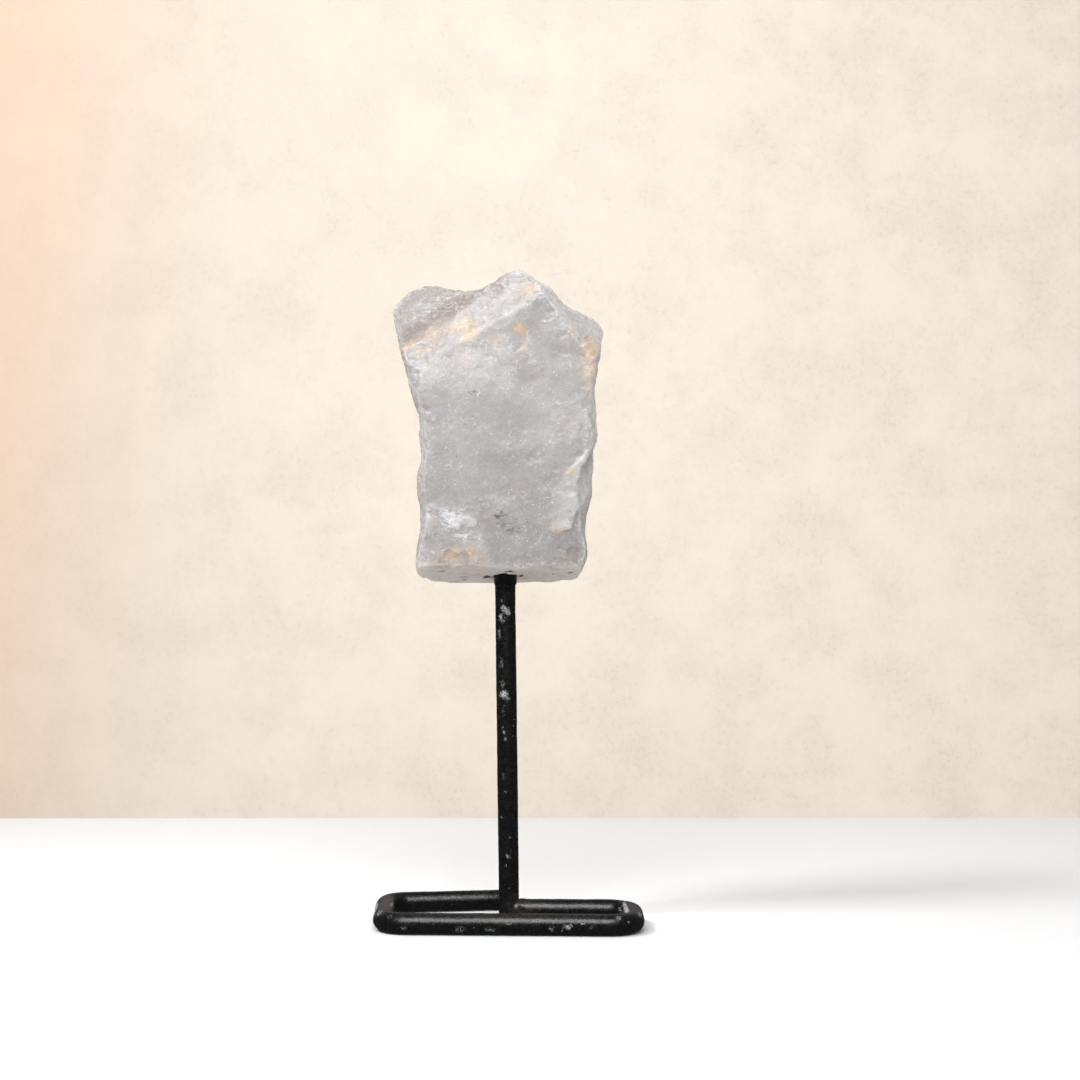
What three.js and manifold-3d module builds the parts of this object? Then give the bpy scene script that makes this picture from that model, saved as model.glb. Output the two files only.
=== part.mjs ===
// A raw piece of milky quartz on a stand of bent round iron rod.
//
// Millimetres, +Z up. The stone's broad broken face looks along -Y.
// The stand is one length of rod wound once round a rectangle and back behind the post. The post is butt-welded
// to the rod's inner end, in the middle of the footprint, and its top is glued into a hole drilled in the stone.
// The model is laid out about the foot of the post and moved at the end, so that the origin is at the centre
// of the whole object's footprint, on the surface that it stands on.

import * as THREE from "three";
import { mergeVertices } from "three/addons/utils/BufferGeometryUtils.js";
import Module from "manifold-3d";

const wasm = await Module();
wasm.setup();

// Driving dimensions
const ROD_DIAMETER = 6;
const ROD_SIDES = 16; // a multiple of four, so that one side lies flat on the table
const BEND_RADIUS = 7; // of the rod's centre line at each corner of the base
const BEND_STEPS = 8;
const FIXED_GAP = 0.3; // between pieces that are fixed to each other

// Centre line of the base rod, seen from above: x, y. It starts at the weld and ends free behind the post.
const BASE_CENTRE_LINE = [
  [1, 0],
  [35.6, -1.8],
  [34.9, -25.9],
  [-35.3, -21.9],
  [-36.5, 12],
  [1.2, 16.9],
];

// The rough bead of weld that holds the rod's end against the post.
const WELD_AT = [3.9, -0.1, 3.4];
const WELD_HALF_SIZE = [2.9, 3.25, 2.7];

const POST_LEAN = THREE.MathUtils.degToRad(-0.72); // towards -X, going up
const POST_BOTTOM = 0.2; // the post's foot stands just clear of the table
const PIN_DEPTH = 13; // length of the post inside the stone
const STONE_AT = new THREE.Vector3(-1.2, 0, 98); // the stone's lowest level, above the post's axis

// The underside slopes up towards the front. Its height is given at the pin, and its rise for each mm of -Y.
const UNDERSIDE_AT_PIN = 2.2;
const UNDERSIDE_RISE = 0.185;

// The stone's widest line, x, z and y from the stone's own lowest level, from the lower right corner upwards
// and round. x and z are its outline in the front view, and y is how far back the edge lies.
const OUTLINE = [
  [18.6, 0.3, 10], [21.5, 1.9, 7], [23.2, 5.2, 2], [24.2, 9.2, -1], [23.7, 13.4, -3], [24.2, 19.4, -4],
  [25.3, 24.2, -5], [25.3, 31.1, -6], [26.3, 37.8, -8.5], [26.7, 44.5, -10], [26.3, 51.4, -10],
  [26.4, 58.7, -10], [27.4, 64.8, -9], [28, 70.5, -6.5], [28.9, 73.9, -4.5], [27.4, 76.6, -4],
  [24.2, 78.6, -5], [21, 79.6, -6.5], [18.1, 80.3, -8], [16, 82, -8.5], [13.6, 85.3, -8.5],
  [10.8, 87.6, -8.5], [6.9, 89.5, -8], [4.9, 90.8, -8], [2.6, 91.1, -8], [-0.4, 89.6, -8],
  [-4.3, 87.5, -8], [-7.9, 85.8, -8], [-12.3, 85.4, -6.7], [-17.3, 87, -4.5], [-21.4, 88, -2.5],
  [-26.2, 87.1, -2], [-28.4, 85.6, -2], [-31, 82.9, -3], [-33.6, 79.9, -4], [-32.8, 75.6, -6],
  [-31.3, 69.8, -8.5], [-29.2, 61.9, -10], [-27.2, 54.3, -10.5], [-25.3, 46.4, -10.5],
  [-24.5, 40.1, -10.5], [-24.2, 36.7, -10], [-25.6, 30.9, -8.5], [-25.4, 22.1, -7.5], [-24.8, 16.3, -6],
  [-25.9, 8.4, -2], [-26.3, 3.4, 3], [-24.4, 0.8, 8], [-20.5, 0.4, 11], [-12.3, 0.3, 12], [-3.1, 0, 12],
  [7.1, -0.5, 12], [13.8, -0.4, 11.5],
];
const OUTLINE_CENTRE = [-1, 44]; // every outline point can be seen from here
const OUTLINE_STEPS = 88;

// How the sides close in, in front of and behind the widest line.
const BLANK_HALF_DEPTH = 32;
const BLANK_STEPS = 18;
const FRONT_BEVEL = 0.32; // inwards for each mm forwards
const UNDERSIDE_FRONT = -9; // at the bottom the front bevel starts from here
const UNDERSIDE_TOP = 20; // and above this height it starts from the widest line
const BACK_BEVEL = 0.26; // inwards for each mm backwards, on average
const BACK_BEVEL_SPREAD = 0.16;
const BEVEL_POWER = 1.18;

// Broken faces: a point on the plane and the outward direction of its normal, x, y, z in the stone's frame.
const FRONT_FACES = [
  { at: [0, -14.7, 56], out: [0.035, -1, 0.045] }, // broad upper part
  { at: [8, -14.6, 30], out: [0.05, -1, -0.06] }, // lower part, falling back to the underside
  { at: [-16, -14.2, 22], out: [-0.1, -1, -0.09] }, // lower left
  { at: [-9, -14.2, 72.4], out: [-0.13, -1, 0.35] }, // pale band below the ridge
  { at: [-13, -12.1, 77.6], out: [-0.33, -1, 0.62] }, // dark face above the ridge
  { at: [16.6, -13.3, 75.5], out: [0.8, -1, 0.66] }, // upper right shoulder
];
const BACK_FACES = [
  { at: [-5, 14.4, 50], out: [-0.16, 1, 0.1] },
  { at: [9, 13.4, 44], out: [0.4, 1, 0.2] },
  { at: [1, 13.6, 24], out: [0.04, 1, -0.16] },
  { at: [-19, 10.5, 56], out: [-0.7, 1, 0.1] },
  { at: [-22.5, 9.8, 20], out: [-1.2, 1, -0.1] },
  { at: [21, 8, 68], out: [0.9, 1, 0.5] },
  { at: [4, 9.5, 82], out: [0.1, 1, 1.05] },
  { at: [-24, 7.5, 81], out: [-0.45, 1, 0.9] },
  { at: [23, 8, 18], out: [1.25, 1, -0.2] },
];
const UNDER_FACES = [
  { at: [0, 0, UNDERSIDE_AT_PIN], out: [0, -UNDERSIDE_RISE, -1] },
  { at: [0, 12, 0.4], out: [0.1, 0.9, -1] },
];

// A flake has broken off the lower right of the front. The step that it left follows this line, x, z,
// and the rest of the line runs outside the stone.
const FLAKE_STEP = [
  [28.5, 43.5], [25.5, 39.2], [23.3, 35.6], [21.5, 33.4], [21.1, 30.8], [20.2, 28.2], [20.2, 24.7],
  [21.1, 22.1], [20.4, 20.3], [19.5, 18.5], [18.7, 15.5], [15.8, 15.4], [13.7, 14.4], [11.5, 13], [9, 8],
  [8, -8], [45, -8], [45, 43.5],
];
const FLAKE_FACES = [
  { at: [21, -12.7, 26], out: [1.1, -1, 0.12] }, // the scar, turned to the right
  { at: [17, -12.2, 12], out: [0.22, -1, -0.1] }, // the lower ground below the step
];

// Shell-shaped scars where chips broke from the back and the edges: centre x, y, z and radius.
const SCARS = [
  [13, 12, 101, 14],
  [-14, 14, 99, 13],
  [31, 21, 84, 14],
  [-45, 10, 62, 17],
  [-38, 19, 84, 11],
  [41, 9, 52, 16],
  [-39, 17, 33, 15],
  [36, 20, 24, 13],
  [15, 32, 60, 20.5],
  [-12, 33, 33, 21],
  [8, 28, 5, 16.5],
  [-26, 24, 4, 13],
  [-6, 35, 70, 21.5],
];
const SCAR_DETAIL = 3;

// The unevenness of the broken surfaces: how far they wander along x, y and z, and over what length.
const WAVES = [
  { reach: [0.5, 1.1, 0.5], length: 18, seed: 3 },
  { reach: [0.3, 0.35, 0.3], length: 6.5, seed: 11 },
];
const CALM_RADIUS = 5; // the ground round the drilled hole is flat
const GRID = 3.4; // spacing of the points on a broken face
const CUT_SIZE = 200; // of the blocks that cut the faces, well over the stone's own size
const CUT_DEPTH = 60;

// Turns a three.js geometry into a solid.
function solid(geometry) {
  const bare = geometry.clone();
  bare.deleteAttribute("normal");
  bare.deleteAttribute("uv");
  const merged = mergeVertices(bare, 1e-4);
  return new wasm.Manifold(
    new wasm.Mesh({
      numProp: 3,
      vertProperties: new Float32Array(merged.attributes.position.array),
      triVerts: new Uint32Array(merged.index.array),
    }),
  );
}

// Turns a solid back into a three.js geometry with flat faces.
function geometryOf(made) {
  const mesh = made.getMesh();
  const geometry = new THREE.BufferGeometry();
  geometry.setAttribute("position", new THREE.BufferAttribute(new Float32Array(mesh.vertProperties), 3));
  geometry.setIndex(new THREE.BufferAttribute(new Uint32Array(mesh.triVerts), 1));
  const flat = geometry.toNonIndexed();
  flat.computeVertexNormals();
  return flat;
}

// A cylinder along Z, from one height to another.
function cylinder(radius, bottom, top, sides) {
  const geometry = new THREE.CylinderGeometry(radius, radius, top - bottom, sides);
  geometry.rotateX(Math.PI / 2);
  geometry.translate(0, 0, (bottom + top) / 2);
  return geometry;
}

// Repeatable noise between -1 and 1, smooth over a length of 1.
function lattice(x, y, z, seed) {
  const mixed = Math.sin(x * 127.1 + y * 311.7 + z * 74.7 + seed * 53.3) * 43758.5453;
  return 2 * (mixed - Math.floor(mixed)) - 1;
}

function noise(x, y, z, seed) {
  const [i, j, k] = [Math.floor(x), Math.floor(y), Math.floor(z)];
  const ease = (t) => t * t * (3 - 2 * t);
  const [u, v, w] = [ease(x - i), ease(y - j), ease(z - k)];
  let sum = 0;
  for (const [a, wa] of [[0, 1 - u], [1, u]]) {
    for (const [b, wb] of [[0, 1 - v], [1, v]]) {
      for (const [c, wc] of [[0, 1 - w], [1, w]]) {
        sum += wa * wb * wc * lattice(i + a, j + b, k + c, seed);
      }
    }
  }
  return sum;
}

// Moves a point of the broken surface a little, but not round the drilled hole.
function wander(point) {
  const fromPin = Math.hypot(point.x, point.y, (point.z - UNDERSIDE_AT_PIN) / 2);
  const calm = THREE.MathUtils.smoothstep(fromPin, CALM_RADIUS * 0.7, CALM_RADIUS * 1.8);
  const moved = point.clone();
  for (const { reach, length, seed } of WAVES) {
    const at = point.clone().divideScalar(length);
    moved.x += reach[0] * calm * noise(at.x, at.y, at.z, seed);
    moved.y += reach[1] * calm * noise(at.x, at.y, at.z, seed + 1);
    moved.z += reach[2] * calm * noise(at.x, at.y, at.z, seed + 2);
  }
  return moved;
}

// Turns a geometry in the stone's frame into a solid with an uneven surface.
function unevenSolid(geometry) {
  const position = geometry.attributes.position;
  const point = new THREE.Vector3();
  for (let i = 0; i < position.count; i++) {
    point.fromBufferAttribute(position, i);
    position.setXYZ(i, ...wander(point));
  }
  return solid(geometry);
}

// Everything on the outer side of a broken face, as a block large enough to cut with.
function outsideOf({ at, out }) {
  const steps = Math.ceil(CUT_SIZE / GRID);
  const block = new THREE.BoxGeometry(CUT_SIZE, CUT_SIZE, CUT_DEPTH, steps, steps, 1);
  block.translate(0, 0, CUT_DEPTH / 2);
  const normal = new THREE.Vector3(...out).normalize();
  block.applyQuaternion(new THREE.Quaternion().setFromUnitVectors(new THREE.Vector3(0, 0, 1), normal));
  block.translate(...at);
  return unevenSolid(block);
}

// How far the side has closed in at a depth y, next to a point of the widest line.
function bevel(edge, y) {
  const up = THREE.MathUtils.smoothstep(edge.z, 0, UNDERSIDE_TOP);
  const ahead = THREE.MathUtils.lerp(Math.min(edge.y, UNDERSIDE_FRONT), edge.y, up) - y;
  if (ahead > 0) return FRONT_BEVEL * ahead ** BEVEL_POWER;
  const steepness = BACK_BEVEL + BACK_BEVEL_SPREAD * noise(edge.x / 24, 0, edge.z / 24, 5);
  return steepness * Math.max(y - edge.y, 0) ** BEVEL_POWER;
}

// The stone's blank: the outline, closing in towards the front and the back.
function stoneBlank() {
  const [cx, cz] = OUTLINE_CENTRE;
  const closed = true;
  const curve = new THREE.CatmullRomCurve3(
    OUTLINE.map(([x, z, y]) => new THREE.Vector3(x, y, z)),
    closed,
    "centripetal",
  );
  const rim = curve.getSpacedPoints(OUTLINE_STEPS);
  const blank = new THREE.CylinderGeometry(1, 1, 2 * BLANK_HALF_DEPTH, OUTLINE_STEPS, BLANK_STEPS);
  const position = blank.attributes.position;
  for (let i = 0; i < position.count; i++) {
    const [sx, sy, sz] = [position.getX(i), position.getY(i), position.getZ(i)];
    if (Math.hypot(sx, sz) < 0.5) {
      position.setXYZ(i, cx, -sy, cz);
      continue;
    }
    const turn = Math.atan2(sx, sz);
    const step = Math.round((turn / (2 * Math.PI) + 1) * OUTLINE_STEPS) % OUTLINE_STEPS;
    const edge = rim[step];
    const reach = Math.hypot(edge.x - cx, edge.z - cz);
    const y = edge.y - sy;
    const share = Math.max(0.2, 1 - bevel(edge, y) / reach);
    position.setXYZ(i, cx + (edge.x - cx) * share, y, cz + (edge.z - cz) * share);
  }
  return blank;
}

// Everything in front of the stone within the line of the flake's step.
function flakePrism() {
  const shape = new THREE.Shape(FLAKE_STEP.map(([x, z]) => new THREE.Vector2(x, z)));
  const depth = 50;
  const prism = new THREE.ExtrudeGeometry(shape, { depth, steps: Math.ceil(depth / GRID), bevelEnabled: false });
  prism.rotateX(Math.PI / 2);
  return unevenSolid(prism);
}

function stoneGeometry() {
  let stone = unevenSolid(stoneBlank());
  for (const face of [...FRONT_FACES, ...BACK_FACES, ...UNDER_FACES]) stone = stone.subtract(outsideOf(face));
  const prism = flakePrism();
  for (const face of FLAKE_FACES) stone = stone.subtract(prism.intersect(outsideOf(face)));
  for (const [x, y, z, radius] of SCARS) {
    const scar = new THREE.IcosahedronGeometry(radius, SCAR_DETAIL);
    scar.translate(x, y, z);
    stone = stone.subtract(unevenSolid(scar));
  }
  const hole = cylinder(ROD_DIAMETER / 2 + FIXED_GAP, -20, UNDERSIDE_AT_PIN + PIN_DEPTH + FIXED_GAP, 24);
  hole.rotateY(POST_LEAN);
  return geometryOf(stone.subtract(solid(hole)));
}

// A regular polygon with a side at the top, the bottom, the left and the right.
function rodSection(acrossFlats, sides) {
  const radius = acrossFlats / 2 / Math.cos(Math.PI / sides);
  const corners = Array.from({ length: sides }, (_, i) => {
    const angle = ((i + 0.5) / sides) * 2 * Math.PI;
    return new THREE.Vector2(radius * Math.sin(angle), radius * Math.cos(angle));
  });
  return new THREE.Shape(corners);
}

// The plan of a rod bent at each corner to the same radius.
function bentPlan(corners, radius) {
  const points = corners.map(([x, y]) => new THREE.Vector2(x, y));
  const plan = new THREE.Path();
  plan.moveTo(points[0].x, points[0].y);
  for (let i = 1; i < points.length - 1; i++) {
    const back = points[i - 1].clone().sub(points[i]).normalize();
    const ahead = points[i + 1].clone().sub(points[i]).normalize();
    const half = Math.acos(back.dot(ahead)) / 2;
    const start = points[i].clone().addScaledVector(back, radius / Math.tan(half));
    const middle = back.clone().add(ahead).normalize();
    const centre = points[i].clone().addScaledVector(middle, radius / Math.sin(half));
    const end = points[i].clone().addScaledVector(ahead, radius / Math.tan(half));
    const clockwise = back.cross(ahead) > 0;
    plan.lineTo(start.x, start.y);
    plan.absarc(
      centre.x, centre.y, radius,
      Math.atan2(start.y - centre.y, start.x - centre.x),
      Math.atan2(end.y - centre.y, end.x - centre.x),
      clockwise,
    );
  }
  const last = points[points.length - 1];
  plan.lineTo(last.x, last.y);
  return plan;
}

// A level line through given points, for a rod to follow with one section at each point.
class StationLine extends THREE.Curve {
  constructor(points, height) {
    super();
    const apart = points.filter((point, i) => i === 0 || point.distanceTo(points[i - 1]) > 0.01);
    this.stations = apart.map(({ x, y }) => new THREE.Vector3(x, y, height));
  }

  getPointAt(u, target = new THREE.Vector3()) {
    return target.copy(this.stations[Math.round(u * (this.stations.length - 1))]);
  }

  getTangentAt(u, target = new THREE.Vector3()) {
    const last = this.stations.length - 1;
    const i = Math.round(u * last);
    const here = this.stations[i];
    const before = this.stations[Math.max(i - 1, 0)].clone().sub(here).normalize();
    const after = this.stations[Math.min(i + 1, last)].clone().sub(here).normalize();
    return target.copy(after).sub(before).normalize();
  }
}

function baseGeometry() {
  const radius = ROD_DIAMETER / 2;
  const line = new StationLine(bentPlan(BASE_CENTRE_LINE, BEND_RADIUS).getPoints(BEND_STEPS / 2), radius);
  const rod = new THREE.ExtrudeGeometry(rodSection(ROD_DIAMETER, ROD_SIDES), {
    steps: line.stations.length - 1,
    bevelEnabled: false,
    extrudePath: line,
  });
  const weld = new THREE.IcosahedronGeometry(1, 2);
  weld.scale(...WELD_HALF_SIZE);
  weld.translate(...WELD_AT);
  const leftOfPost = new THREE.BoxGeometry(12, 12, 20);
  leftOfPost.translate(-6, 0, radius);
  const clearance = cylinder(radius + FIXED_GAP, -10, 20, 24);
  clearance.rotateY(POST_LEAN);
  return geometryOf(solid(rod).add(solid(weld)).subtract(solid(clearance)).subtract(solid(leftOfPost)));
}

function postGeometry() {
  const top = STONE_AT.z + UNDERSIDE_AT_PIN + PIN_DEPTH;
  const edge = 0.5;
  const radius = ROD_DIAMETER / 2;
  const profile = [
    [0, POST_BOTTOM],
    [radius - edge, POST_BOTTOM],
    [radius, POST_BOTTOM + edge],
    [radius, top - edge],
    [radius - edge, top],
    [0, top],
  ].map(([r, z]) => new THREE.Vector2(r, z));
  const post = new THREE.LatheGeometry(profile, 20);
  post.rotateX(Math.PI / 2);
  return post;
}

// The bead of black glue squeezed out round the mouth of the hole. Its top follows the slope of the underside.
function glueGeometry() {
  const inner = ROD_DIAMETER / 2 + FIXED_GAP;
  const profile = [
    [inner, -0.7],
    [inner + 0.12, -0.6],
    [inner + 0.2, 0.4],
    [inner + 0.36, 1.3],
    [inner + 0.6, 2.2],
    [inner + 0.75, 5],
    [inner, 5],
    [inner, -0.7],
  ].map(([r, z]) => new THREE.Vector2(r, z));
  const ring = new THREE.LatheGeometry(profile, 24);
  ring.rotateX(Math.PI / 2);
  const top = { at: [0, 0, UNDERSIDE_AT_PIN - FIXED_GAP], out: [0, UNDERSIDE_RISE, 1] };
  return geometryOf(solid(ring).subtract(outsideOf(top)));
}

// Finishes
const blackPaint = new THREE.MeshStandardMaterial({ color: 0x121212, roughness: 0.42, metalness: 0.35 });
const milkyQuartz = new THREE.MeshStandardMaterial({ color: 0xcbc7c5, roughness: 0.35, metalness: 0 });
const blackGlue = new THREE.MeshStandardMaterial({ color: 0x0a0a0a, roughness: 0.3, metalness: 0 });

function mesh(name, geometry, material) {
  const made = new THREE.Mesh(geometry, material);
  made.name = name;
  return made;
}

const base = mesh("base_rod", baseGeometry(), blackPaint);

const post = mesh("post_rod", postGeometry(), blackPaint);
post.rotation.y = POST_LEAN;

const stone = new THREE.Group();
stone.position.copy(STONE_AT);
stone.add(mesh("quartz", stoneGeometry(), milkyQuartz));
stone.add(mesh("glue_bead", glueGeometry(), blackGlue));

const layout = new THREE.Group();
layout.add(base, post, stone);

const footprint = new THREE.Box3().setFromObject(layout, true);
layout.position.set(
  -(footprint.min.x + footprint.max.x) / 2,
  -(footprint.min.y + footprint.max.y) / 2,
  -footprint.min.z,
);

const quartzOnStand = new THREE.Group();
quartzOnStand.add(layout);

export default quartzOnStand;
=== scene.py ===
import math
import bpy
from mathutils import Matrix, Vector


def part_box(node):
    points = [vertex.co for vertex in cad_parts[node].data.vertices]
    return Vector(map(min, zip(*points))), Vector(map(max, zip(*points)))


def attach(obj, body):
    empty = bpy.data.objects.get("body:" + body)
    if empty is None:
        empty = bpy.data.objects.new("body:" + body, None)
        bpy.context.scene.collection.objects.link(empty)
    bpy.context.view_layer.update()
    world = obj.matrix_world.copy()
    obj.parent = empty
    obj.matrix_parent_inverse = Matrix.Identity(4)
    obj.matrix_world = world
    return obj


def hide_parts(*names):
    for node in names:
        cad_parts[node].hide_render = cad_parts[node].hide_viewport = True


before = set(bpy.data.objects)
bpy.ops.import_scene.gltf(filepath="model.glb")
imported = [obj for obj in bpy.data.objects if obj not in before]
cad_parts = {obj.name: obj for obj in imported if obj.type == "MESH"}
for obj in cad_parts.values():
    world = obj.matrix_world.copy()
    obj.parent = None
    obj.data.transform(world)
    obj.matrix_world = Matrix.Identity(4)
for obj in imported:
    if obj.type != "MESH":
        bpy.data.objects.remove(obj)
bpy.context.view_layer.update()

# A raw piece of milky quartz on a stand of bent, black-painted iron rod.
# The pieces are shaped in millimetres, the stand about the foot of its post and the stone about its own
# lowest level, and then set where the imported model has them, in metres.

from types import SimpleNamespace

import bmesh
import bpy
import numpy as np
from mathutils import Euler, Vector

MM = 0.001

# Driving dimensions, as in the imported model
ROD_RADIUS = 3
BEND_RADIUS = 7
BASE_LINE = [(1, 0), (35.6, -1.8), (34.9, -25.9), (-35.3, -21.9), (-36.5, 12), (1.2, 16.9)]
POST_LEAN = math.radians(-0.72)
POST_BOTTOM = 0.2
PIN_DEPTH = 13
STONE_AT = (-1.2, 0, 98)
UNDERSIDE_AT_PIN = 2.2
UNDERSIDE_RISE = 0.185
WELD_AT = (3.9, -0.1, 3.2)
WELD_HALF_SIZE = (3, 3.2, 2.75)

post_low, post_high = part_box("post_rod")
FOOT = np.array([post_high.x / MM - ROD_RADIUS, (post_low.y + post_high.y) / 2 / MM, 0])
STONE = FOOT + STONE_AT

scene = bpy.context.scene
scene.view_settings.view_transform = "Standard"


# The camera, as the photograph was taken

CAMERA_BACK = 518
CAMERA_HEIGHT = 93.1
CAMERA_UP = math.radians(1.95)
CAMERA_RIGHT = math.radians(0.994)
CAMERA_LENS = 58.8

camera = bpy.data.objects.new("camera", bpy.data.cameras.new("camera"))
scene.collection.objects.link(camera)
camera.data.sensor_width = 36
camera.data.lens = CAMERA_LENS
camera.data.clip_start = 0.01
camera.location = Vector((FOOT[0], FOOT[1] - CAMERA_BACK, CAMERA_HEIGHT)) * MM
camera.rotation_euler = Euler((math.pi / 2 + CAMERA_UP, 0, -CAMERA_RIGHT))
scene.camera = camera


# Number tools

def unit(vectors):
    """One vector, or each row of several, with its length made 1."""
    return vectors / np.linalg.norm(vectors, axis=-1, keepdims=True)


def smooth(low, high, value):
    """0 below low, 1 above high, and an eased step between them."""
    t = np.clip((value - low) / (high - low), 0, 1)
    return t * t * (3 - 2 * t)


def lattice(i, j, k, seed):
    """Repeatable numbers from -1 to 1 at whole coordinates."""
    mixed = (i * 374761393 + j * 668265263 + k * 2246822519 + seed * 3266489917) & 0xFFFFFFFF
    mixed = ((mixed ^ (mixed >> 15)) * 2246822519) & 0xFFFFFFFF
    mixed = ((mixed ^ (mixed >> 13)) * 3266489917) & 0xFFFFFFFF
    return ((mixed ^ (mixed >> 16)) & 0xFFFF) / 32767.5 - 1


def noise(points, size, seed):
    """Smooth noise from about -1 to 1, with lumps of the given size."""
    scaled = points / size
    cell = np.floor(scaled).astype(np.int64)
    part = scaled - cell
    part = part * part * part * (part * (part * 6 - 15) + 10)
    total = np.zeros(len(points))
    for corner in range(8):
        a, b, c = corner & 1, corner >> 1 & 1, corner >> 2
        weight = np.ones(len(points))
        for axis, step in enumerate((a, b, c)):
            weight = weight * (part[:, axis] if step else 1 - part[:, axis])
        total += weight * lattice(cell[:, 0] + a, cell[:, 1] + b, cell[:, 2] + c, seed)
    return total


def rough(points, size, seed, octaves=3):
    """Noise with finer noise on it."""
    total = np.zeros(len(points))
    for octave in range(octaves):
        total += noise(points, size / 2.1**octave, seed + octave) / 2**octave
    return total


def warped(points, size, reach, seed):
    """The points moved about by noise, so that a regular shape read at them looks uneven."""
    return points + reach * np.stack([noise(points, size, seed + i) for i in range(3)], axis=1)


def spots(points, rows):
    """The strongest of several soft ovals: x, z, half length, half width, turn in degrees, strength."""
    found = np.zeros(len(points))
    for x, z, long, wide, turn, strength in rows:
        c, s = math.cos(math.radians(turn)), math.sin(math.radians(turn))
        dx, dz = points[:, 0] - x, points[:, 2] - z
        away = np.hypot((dx * c + dz * s) / long, (dz * c - dx * s) / wide)
        found = np.maximum(found, strength * smooth(1.7, 0.3, away))
    return found


def ovals(points, rows):
    """The strongest of several soft eggs: x, y, z, radius along each, and strength."""
    found = np.zeros(len(points))
    for row in rows:
        away = np.linalg.norm((points - row[:3]) / row[3:6], axis=1)
        found = np.maximum(found, row[6] * smooth(1.6, 0.2, away))
    return found


# Mesh tools

def make(name, points, faces, at, attributes=None):
    """A smooth object from points in millimetres about a place in millimetres."""
    mesh = bpy.data.meshes.new(name)
    mesh.from_pydata(((points + at) * MM).tolist(), [], faces)
    mesh.shade_smooth()
    for key, values in (attributes or {}).items():
        mesh.attributes.new(key, "FLOAT", "POINT").data.foreach_set("value", values.astype(np.float32))
    made = bpy.data.objects.new(name, mesh)
    scene.collection.objects.link(made)
    return made


def dress(piece, material, slot, *nodes):
    """Gives a piece its material, sets it on the root body and hides the imported parts that it stands in
    for.
    """
    piece.data.materials.append(material)
    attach(piece, "root")
    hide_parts(*nodes)


def read_mesh(mesh):
    """A mesh's points, normals and edges as arrays."""

    def read(things, key, width, kind):
        values = np.empty(len(things) * width, kind)
        things.foreach_get(key, values)
        return values.reshape(-1, width)

    return (
        read(mesh.vertices, "co", 3, np.float32).astype(float),
        read(mesh.vertex_normals, "vector", 3, np.float32).astype(float),
        read(mesh.edges, "vertices", 2, np.int32),
    )


def relaxed(values, edges, rounds):
    """Values at the mesh's points, each evened out with its neighbours' over and over."""
    count = len(values)
    a, b = np.concatenate([edges, edges[:, ::-1]]).T
    degree = np.maximum(np.bincount(a, minlength=count), 1)
    columns = values.reshape(count, -1).copy()
    for _ in range(rounds):
        for i in range(columns.shape[1]):
            columns[:, i] = np.bincount(a, columns[b, i], minlength=count) / degree
    return columns.reshape(values.shape)


def evaluated(thing):
    """A thing's mesh with its modifiers applied."""
    return bpy.data.meshes.new_from_object(thing.evaluated_get(bpy.context.evaluated_depsgraph_get()))


# The stone's blank. How crisp an edge stays depends on how many degrees it turns.
MERGE_WITHIN = 0.002
CREASE_FROM, CREASE_FULL, CREASE_MOST = 22, 50, 0.9
PUSH_ROUNDS, PUSH_SHARE = 3, 0.8
STONE_VOXEL = 0.44


def stone_blank():
    """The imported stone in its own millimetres, with its flat facets eased and an even, fine mesh."""
    shell = bmesh.new()
    shell.from_mesh(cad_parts["quartz"].data)
    bmesh.ops.remove_doubles(shell, verts=shell.verts, dist=MERGE_WITHIN * MM)
    for vert in shell.verts:
        vert.co = vert.co / MM - Vector(STONE)
    crease = shell.edges.layers.float.new("crease_edge")
    for edge in shell.edges:
        turn = math.degrees(edge.calc_face_angle(0))
        edge[crease] = float(CREASE_MOST * smooth(CREASE_FROM, CREASE_FULL, turn))
    mesh = bpy.data.meshes.new("stone_blank")
    shell.to_mesh(mesh)
    shell.free()
    blank = bpy.data.objects.new("stone_blank", mesh)
    scene.collection.objects.link(blank)
    eased = blank.modifiers.new("eased", "SUBSURF")
    eased.levels = 2

    # Easing draws the corners in, so they are first pushed out until they land where they were
    corners = read_mesh(mesh)[0]
    held = corners.copy()
    for _ in range(PUSH_ROUNDS):
        landed = read_mesh(evaluated(blank))[0][:len(corners)]
        held += PUSH_SHARE * (corners - landed)
        mesh.vertices.foreach_set("co", held.ravel())
        mesh.update()

    even = blank.modifiers.new("even", "REMESH")
    even.mode = "VOXEL"
    even.voxel_size = STONE_VOXEL
    done = evaluated(blank)
    bpy.data.objects.remove(blank)
    return done


# The stone's broken faces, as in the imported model: a point on each and the way it faces
FACES = {
    "broad": ((0, -14.7, 56), (0.035, -1, 0.045)),
    "lower": ((8, -14.6, 30), (0.05, -1, -0.06)),
    "left": ((-16, -14.2, 22), (-0.1, -1, -0.09)),
    "band": ((-9, -14.2, 72.4), (-0.13, -1, 0.35)),
    "dark": ((-13, -12.1, 77.6), (-0.33, -1, 0.62)),
    "shoulder": ((16.6, -13.3, 75.5), (0.8, -1, 0.66)),
    "under": ((0, 0, UNDERSIDE_AT_PIN), (0, -UNDERSIDE_RISE, -1)),
}

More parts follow.
